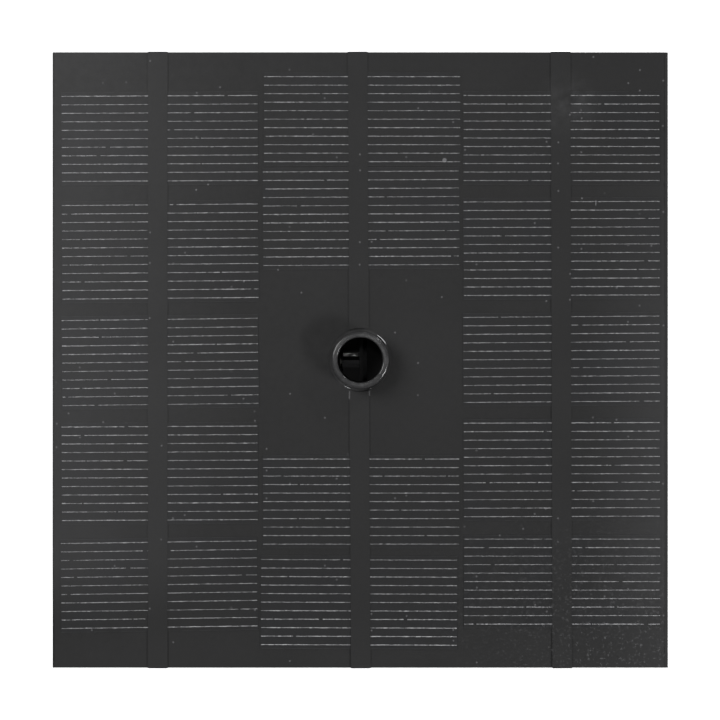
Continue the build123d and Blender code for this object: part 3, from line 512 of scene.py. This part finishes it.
def circuit_material():
    """Green solder mask with faint tracks and tinned dots."""
    graph = Graph("circuit_board")
    brick = {"Vector": graph.place, "Scale": 300.0, "Mortar Size": 0.02}
    tracks = graph.node("ShaderNodeTexBrick", brick)
    dots = graph.ramp(graph.voronoi(420.0).outputs["Distance"], 0.2, 0.14)
    colour = graph.blend(tracks.outputs["Fac"], (0.006, 0.075, 0.028, 1.0), (0.012, 0.14, 0.05, 1.0))
    colour = graph.blend(dots, colour, (0.55, 0.55, 0.52, 1.0))
    graph.set(**{"Base Color": colour})
    graph.set(Roughness=graph.ramp(dots, 0.0, 1.0, 0.42, 0.28))
    graph.set(Normal=graph.bump(tracks.outputs["Fac"], 0.03 * MM, 0.4))
    return graph.material


def rubber_material(name, dark, light, roughness):
    """Soft rubber with a dull bloom in patches."""
    graph = Graph(name)
    bloom = graph.noise(190.0, 4.0, 0.6)
    graph.set(**{"Base Color": graph.blend(graph.ramp(bloom, 0.35, 0.7), dark, light)})
    graph.set(Roughness=graph.ramp(bloom, 0.3, 0.7, roughness - 0.05, roughness + 0.1))
    graph.set(Normal=graph.bump(graph.noise(1900.0, 2.0), 0.04 * MM, 0.5))
    return graph.material


def vinyl_material():
    """Clear vinyl gone slightly milky, as on old suction cups."""
    graph = Graph("clear_vinyl")
    milk = graph.noise(140.0, 4.0, 0.6)
    colour = graph.blend(graph.ramp(milk, 0.35, 0.7), (0.30, 0.34, 0.35, 1.0), (0.52, 0.56, 0.56, 1.0))
    graph.set(**{"Base Color": colour, "Alpha": graph.ramp(milk, 0.3, 0.7, 0.55, 0.72)})
    graph.set(Roughness=graph.ramp(graph.noise(420.0, 2.0), 0.3, 0.7, 0.14, 0.26))
    graph.set(Normal=graph.bump(graph.noise(120.0, 2.0), 0.15 * MM, 0.2))
    graph.set(**{"Specular IOR Level": 0.6})
    return graph.material


def sponge_material():
    """Open-cell filter sponge: thin struts, with the pores between them painted dark as painted shade."""
    graph = Graph("filter_sponge")
    pores = graph.voronoi(720.0, "SMOOTH_F1").outputs["Distance"]
    small = graph.voronoi(1500.0).outputs["Distance"]
    depth = graph.math("MULTIPLY", graph.ramp(pores, 0.1, 0.6), graph.ramp(small, 0.05, 0.5, 0.5, 1.0))
    # Painted shade: the colour goes near black deep in the pores.
    graph.set(**{"Base Color": graph.blend(depth, grey(0.005), grey(0.075))})
    graph.set(Roughness=graph.ramp(depth, 0.0, 1.0, 0.95, 0.8))
    graph.set(Normal=graph.bump(depth, 0.6 * MM, 1.0))
    return graph.material


def foam_material():
    """Closed-cell float foam, skived, with small bubbles on the cut faces, painted darker inside as
    painted shade.
    """
    graph = Graph("float_foam")
    bubbles = graph.voronoi(900.0).outputs["Distance"]
    tone = graph.noise(40.0, 3.0)
    # Painted shade: the colour darkens towards the middle of each bubble.
    colour = graph.blend(graph.ramp(bubbles, 0.1, 0.5), grey(0.045), grey(0.10))
    colour = graph.blend(graph.ramp(tone, 0.4, 0.7, 0.0, 0.4), colour, grey(0.14))
    graph.set(**{"Base Color": colour})
    graph.set(Roughness=graph.ramp(tone, 0.3, 0.7, 0.82, 0.92))
    graph.set(Normal=graph.bump(bubbles, 0.25 * MM, 0.7))
    return graph.material


def glossy_material(name, dark, light, roughness, scale):
    """Cast resin, enamel or glaze: smooth, with slow ripples."""
    graph = Graph(name)
    ripple = graph.noise(scale, 3.0)
    graph.set(**{"Base Color": graph.blend(graph.ramp(ripple, 0.35, 0.65), dark, light)})
    haze = graph.noise(scale * 3.0, 2.0)
    graph.set(Roughness=graph.ramp(haze, 0.3, 0.7, roughness - 0.04, roughness + 0.06))
    graph.set(Normal=graph.bump(ripple, 0.2 * MM, 0.25))
    return graph.material


def stator_material():
    """Electrical steel in half-millimetre laminations stacked along the pump's axis."""
    graph = Graph("core_steel")
    wave = {"Vector": graph.place, "Scale": 320.0, "Distortion": 0.3}
    layers = graph.node("ShaderNodeTexWave", wave, bands_direction="X").outputs["Fac"]
    colour = graph.blend(graph.ramp(layers, 0.2, 0.8), (0.06, 0.062, 0.07, 1.0), (0.30, 0.31, 0.34, 1.0))
    graph.set(**{"Base Color": colour, "Metallic": 0.9})
    graph.set(Roughness=graph.ramp(graph.noise(200.0, 3.0), 0.3, 0.7, 0.35, 0.5))
    graph.set(Normal=graph.bump(layers, 0.08 * MM, 0.6))
    return graph.material


def dress(material, *nodes):
    """Gives CAD nodes a finish."""
    for name in nodes:
        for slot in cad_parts[name].material_slots:
            slot.material = material


def numbered(stem, count, digits=1):
    return [f"{stem}_{index:0{digits}d}" for index in range(1, count + 1)]


CELLS = numbered("solar_cell", 14, 2)
FOAMS = numbered("float_foam", 4)


def dress_frame():
    black = moulded_plastic("housing_black", grey(0.017), grey(0.026), 0.42)
    dress(black, "volute_cover", "motor_rear_cap")
    dress(casing_material(), "pump_casing")
    dress(impeller_material(), "impeller")
    dress(moulded_plastic("tray_black", grey(0.018), grey(0.030), 0.5, 0.08), "float_tray")
    dress(moulded_plastic("basket_black", grey(0.016), grey(0.027), 0.46, 0.06), "filter_cover")
    dress(moulded_plastic("box_black", grey(0.02), grey(0.03), 0.5), "junction_box")
    dress(moulded_plastic("sensor_black", grey(0.02), grey(0.03), 0.55), "hall_sensor")
    dress(board_material(), "panel_substrate")
    dress(sheet_material(), "panel_backing_sheet")
    for seed, name in enumerate(CELLS):
        dress(cell_material(f"silicon_{seed + 1:02d}", seed), name)
    dress(tape_material(), "busbar_strip_left", "busbar_strip_centre", "busbar_strip_right")
    dress(film_material(), "front_film")
    tin_dark, tin_light = (0.42, 0.42, 0.41, 1.0), (0.66, 0.66, 0.64, 1.0)
    tin = metal_material("tinned_ribbon", tin_dark, tin_light, 0.35, 900.0, (1, 0.1, 1))
    dress(tin, "tabbing_ribbons")
    steel_dark, steel_light = (0.40, 0.40, 0.41, 1.0), (0.62, 0.62, 0.63, 1.0)
    steel = metal_material("steel", steel_dark, steel_light, 0.32, 1100.0, (1, 1, 0.2))
    dress(steel, "pump_screws")
    dress(stator_material(), "stator_core")
    dress(winding_material(), *numbered("stator_coil", 4))
    dress(circuit_material(), "driver_board")
    dress(glossy_material("epoxy", grey(0.010), grey(0.018), 0.16, 90.0), "potting_compound")
    dress(glossy_material("ceramic", (0.62, 0.61, 0.58, 1.0), (0.74, 0.73, 0.70, 1.0), 0.12, 200.0),
          "rotor_shaft", "front_bush")
    dress(metal_material("ferrite", grey(0.04), grey(0.075), 0.6, 700.0, (1, 1, 1), 0.2), "rotor_magnet")
    rubber = rubber_material("black_rubber", grey(0.012), grey(0.03), 0.55)
    dress(rubber, "riser_seal_ring", "cover_o_ring", "lead_grommet", "rear_bush")
    dress(rubber_material("lead_red", (0.30, 0.010, 0.008, 1.0), (0.42, 0.018, 0.014, 1.0), 0.4),
          "panel_lead_positive")
    dress(rubber_material("lead_black", grey(0.014), grey(0.025), 0.4), "panel_lead_negative")
    dress(vinyl_material(), *numbered("suction_cup", 4))


# ------------------------------------------------------------------------- made pieces
def mesh_piece(name, points, faces, materials, body, smooth=True):
    mesh = bpy.data.meshes.new(name)
    mesh.from_pydata(points, [], faces)
    mesh.update()
    piece = bpy.data.objects.new(name, mesh)
    bpy.context.scene.collection.objects.link(piece)
    for material in materials:
        mesh.materials.append(material)
    for polygon in mesh.polygons:
        polygon.use_smooth = smooth
    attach(piece, body)
    return piece


def cell_outline(name):
    """Lower left corner, directions along and up the cell, its width and height, and its top's level."""
    vertices = [vertex.co.copy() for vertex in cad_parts[name].data.vertices]
    top = max(vertex.z for vertex in vertices)
    lower_left = min(vertices, key=lambda vertex: vertex.x + vertex.y)
    lower_right = max(vertices, key=lambda vertex: vertex.x - vertex.y)
    upper_left = min(vertices, key=lambda vertex: vertex.x - vertex.y)
    along, up = lower_right - lower_left, upper_left - lower_left
    along.z, up.z = 0.0, 0.0
    return lower_left, along.normalized(), up.normalized(), along.length, up.length, top


# Silver fingers; pairs and the list are in millimetres, strengths multiply the width
FINGER_START = 0.15 * MM
FINGER_END = 0.25 * MM
SEGMENT_LENGTHS = (0.15, 1.1)
SEGMENT_WIDTHS = (0.10, 0.14, 0.16, 0.18, 0.20)
STRENGTHS = (0.75, 1.15)
WAVER = 0.025
MISSING_CHANCE = 0.008
GAP_CHANCE = 0.35
GAP_LENGTHS = (0.03, 0.16)
PASTE_THICKNESS = 0.006 * MM
BAR_BEVEL = 0.15
RIM_INSET = 0.10 * MM
RIM_WIDTH = 0.07 * MM
RIM_THICKNESS = 0.004 * MM
SILVER_KIND, RIM_KIND = 0, 1
FINGER_SEED = 700
BAR_FACES = 5


def add_bar(points, faces, start, along, up, length, width, base, thick):
    """A low flat bar lying on the cell: five faces, open below."""
    corner = len(points)
    for height in (base, base + thick):
        inset = 0.0 if height == base else width * BAR_BEVEL
        for step, side in ((0, -0.5), (1, -0.5), (1, 0.5), (0, 0.5)):
            point = start + along * (step * length) + up * (side * (width - 2 * inset))
            points.append((point.x, point.y, height))
    faces.append([corner + 4, corner + 5, corner + 6, corner + 7])
    for edge in range(4):
        following = (edge + 1) % 4
        faces.append([corner + edge, corner + following, corner + following + 4, corner + edge + 4])


def make_fingers(index, name, silver, rim):
    """The silver fingers printed across one cell, broken and uneven, and the cell's cut rim."""
    draw = random.Random(FINGER_SEED + index)
    lower_left, along, up, width, height, top = cell_outline(name)
    count = round(height / FINGER_PITCH)
    points, faces, kinds = [], [], []
    for finger in range(count):
        level = lower_left + up * ((finger + 0.5) * height / count)
        strength = draw.uniform(*STRENGTHS)
        reach = FINGER_START
        while reach < width - FINGER_END:
            length = draw.uniform(*SEGMENT_LENGTHS) * MM
            length = min(length, width - FINGER_START - reach)
            thickness = draw.choice(SEGMENT_WIDTHS) * MM * strength
            lift = draw.uniform(-WAVER, WAVER) * MM
            if draw.random() > MISSING_CHANCE:
                start = level + along * reach + up * lift
                add_bar(points, faces, start, along, up, length, thickness, top, PASTE_THICKNESS)
                kinds += [SILVER_KIND] * BAR_FACES
            gap = draw.uniform(*GAP_LENGTHS) * MM if draw.random() < GAP_CHANCE else 0.0
            reach += length + gap
    for level in (RIM_INSET, height - RIM_INSET):
        add_bar(points, faces, lower_left + up * level, along, up, width, RIM_WIDTH, top, RIM_THICKNESS)
        kinds += [RIM_KIND] * BAR_FACES
    piece_name = f"cell_fingers_{index:02d}"
    piece = mesh_piece(piece_name, points, faces, [silver, rim], FLOAT_BODY, False)
    for polygon, kind in zip(piece.data.polygons, kinds):
        polygon.material_index = kind


def lathe(profile, turns, wobble):
    """Points and faces of a closed (radius, height) profile turned about Z, each moved by wobble."""
    points, faces = [], []
    rows = len(profile)
    for turn in range(turns):
        angle = 2 * math.pi * turn / turns
        for radius, height in profile:
            point = Vector((radius * math.cos(angle), radius * math.sin(angle), height))
            points.append(tuple(wobble(point)))
    for turn in range(turns):
        for row in range(rows):
            a, b = turn * rows + row, turn * rows + (row + 1) % rows
            c, d = (turn + 1) % turns * rows + (row + 1) % rows, (turn + 1) % turns * rows + row
            faces.append([a, d, c, b])
    return points, faces


def closed_run(corners):
    """Profile points round the corners, each given with the number of steps to the next one."""
    outline = []
    for place, (start, steps) in enumerate(corners):
        end = corners[(place + 1) % len(corners)][0]
        width, rise = end[0] - start[0], end[1] - start[1]
        for step in range(steps):
            outline.append((start[0] + width * step / steps, start[1] + rise * step / steps))
    return outline


SPONGE_INNER_R = 29.0 * MM
SPONGE_FOOT_GAP = 0.2 * MM
SPONGE_HEAD_GAP = 0.3 * MM
SPONGE_SOFT_EDGE = 0.8 * MM
SPONGE_TURNS = 250
# Depth of the pits: their mean, and depth and pitch of fine and of coarse pits
PIT_MEAN = 0.22 * MM
PIT_FINE, PIT_FINE_SCALE = 0.28 * MM, 1400.0
PIT_COARSE, PIT_COARSE_SCALE = 0.12 * MM, 260.0


def make_sponge():
    """The ring of filter sponge, its skin pitted by open cells."""
    low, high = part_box("filter_sponge")
    outer, inner, soft = high.x, SPONGE_INNER_R, SPONGE_SOFT_EDGE
    bottom, top = low.z + SPONGE_FOOT_GAP, high.z - SPONGE_HEAD_GAP
    corners = (
        ((outer, bottom + soft), 34),
        ((outer, top - soft), 2),
        ((outer - soft, top), 4),
        ((inner + soft, top), 2),
        ((inner, top - soft), 30),
        ((inner, bottom + soft), 2),
        ((inner + soft, bottom), 4),
        ((outer - soft, bottom), 2),
    )
    outline = closed_run(corners)
    middle = (outer + inner) / 2

    def pit(point):
        """Moves a point into the sponge by the depth of the pit there."""
        radial = Vector((point.x, point.y, 0.0))
        fine = PIT_FINE * noise.noise(point * PIT_FINE_SCALE)
        depth = PIT_MEAN + fine + PIT_COARSE * noise.noise(point * PIT_COARSE_SCALE)
        side = -1.0 if radial.length > middle else 1.0
        return point + radial.normalized() * (side * max(0.0, depth))

    points, faces = lathe(outline, SPONGE_TURNS, pit)
    piece = mesh_piece("filter_sponge_ring", points, faces, [sponge_material()], BASKET_BODY)
    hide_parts("filter_sponge")


FOAM_BEVEL = 0.9 * MM
FOAM_BEVEL_STEPS = 3
FOAM_CUT = 4.0 * MM
FOAM_CRUSH = 0.10 * MM
FOAM_CRUSH_SCALE = 120.0


def make_foam(index, name, material):
    """A foam block with rounded, slightly crushed edges."""
    low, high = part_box(name)
    size, centre = high - low, (high + low) / 2
    mesh = bpy.data.meshes.new(f"foam_block_{index}")
    shape = bmesh.new()
    bmesh.ops.create_cube(shape, size=1.0)
    bmesh.ops.scale(shape, vec=size, verts=shape.verts)
    bmesh.ops.bevel(
        shape,
        geom=shape.edges[:],
        offset=FOAM_BEVEL,
        segments=FOAM_BEVEL_STEPS,
        profile=0.5,
        affect="EDGES",
    )
    for axis in range(3):
        cuts = max(1, int(size[axis] / FOAM_CUT))
        for cut in range(1, cuts):
            place = Vector((0, 0, 0))
            place[axis] = -size[axis] / 2 + size[axis] * cut / cuts
            normal = Vector((0, 0, 0))
            normal[axis] = 1.0
            geometry = shape.verts[:] + shape.edges[:] + shape.faces[:]
            bmesh.ops.bisect_plane(shape, geom=geometry, plane_co=place, plane_no=normal)
    for vertex in shape.verts:
        vertex.co += centre
        crush = FOAM_CRUSH * (1 + noise.noise(vertex.co * FOAM_CRUSH_SCALE))
        vertex.co += (centre - vertex.co).normalized() * crush
    shape.to_mesh(mesh)
    shape.free()
    piece = bpy.data.objects.new(f"foam_block_{index}", mesh)
    bpy.context.scene.collection.objects.link(piece)
    mesh.materials.append(material)
    for polygon in mesh.polygons:
        polygon.use_smooth = True
    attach(piece, FLOAT_BODY)
    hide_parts(name)


# Levels below the panel's top between which the sealant's raised rim turns pale and glossy, a painted
# highlight
RIM_DULL = 0.56 * MM
RIM_BRIGHT = 0.38 * MM
BEAD_DROP = 0.15 * MM
BEAD_SLOPE_WIDTH = 0.2 * MM
BEAD_SLOPE_RISE = 0.02 * MM
BEAD_TURNS = 240
BEAD_TOLERANCE = 0.01 * MM
RIDGE_INSET = 0.12 * MM
RIDGE_HALF_WIDTH = 0.22 * MM
SLUMP = 0.06 * MM
SLUMP_SCALE = 330.0
# Angle, half its length in degrees, and height of each place where the rim stands up
RIDGES = ((44.0, 15.0, 0.55 * MM), (245.0, 11.0, 0.27 * MM), (290.0, 5.0, 0.25 * MM))


def sealant_material():
    """Black sealant, dull but for the places where its rim stands up, which are painted pale and glossy
    as a painted highlight.
    """
    graph = Graph("sealant")
    ripple = graph.noise(260.0, 3.0)
    raised = graph.ramp(graph.axis("Z"), PANEL_TOP - RIM_DULL, PANEL_TOP - RIM_BRIGHT)
    colour = graph.blend(graph.ramp(ripple, 0.35, 0.65), grey(0.018), grey(0.026))
    # Painted highlight: the raised rim's colour turns near white and its roughness low.
    graph.set(**{"Base Color": graph.blend(raised, colour, grey(0.80))})
    graph.set(Roughness=graph.ramp(raised, 0.0, 1.0, 0.7, 0.22))
    graph.set(Normal=graph.bump(ripple, 0.05 * MM, 0.3))
    return graph.material


def make_sealant():
    """The bead of sealant between tube and panel, run in by hand: low, with its rim raised in places."""
    low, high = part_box("riser_sealant")
    inner, outer = RISER_R, high.x
    top = high.z - BEAD_DROP
    corners = (
        ((inner, low.z), 2),
        ((outer, low.z), 3),
        ((outer, top), 3),
        ((outer - BEAD_SLOPE_WIDTH, top + BEAD_SLOPE_RISE), 4),
        ((inner, top), 3),
    )

    def slump(point):
        """Wavers the top, and raises the rim at each ridge."""
        if point.z < top - BEAD_TOLERANCE:
            return point
        rise = SLUMP * noise.noise(point * SLUMP_SCALE)
        turn = math.degrees(math.atan2(point.y, point.x)) % 360
        radius = math.hypot(point.x, point.y)
        rim = max(0.0, 1 - abs(radius - outer + RIDGE_INSET) / RIDGE_HALF_WIDTH)
        for angle, half_length, height in RIDGES:
            rise += height * rim * max(0.0, 1 - ((turn - angle) / half_length) ** 2)
        return point + Vector((0, 0, rise))

    points, faces = lathe(closed_run(corners), BEAD_TURNS, slump)
    piece = mesh_piece("sealant_bead", points, faces, [sealant_material()], FLOAT_BODY)
    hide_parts("riser_sealant")


# --------------------------------------------------------------------------- the scene
make_camera()
make_lights()
make_floor()
dress_frame()
silver_paste, cell_rim = silver_material(), cut_edge_material()
for cell_index, cell_name in enumerate(CELLS, start=1):
    make_fingers(cell_index, cell_name, silver_paste, cell_rim)
make_sponge()
foam = foam_material()
for foam_index, foam_name in enumerate(FOAMS, start=1):
    make_foam(foam_index, foam_name, foam)
make_sealant()
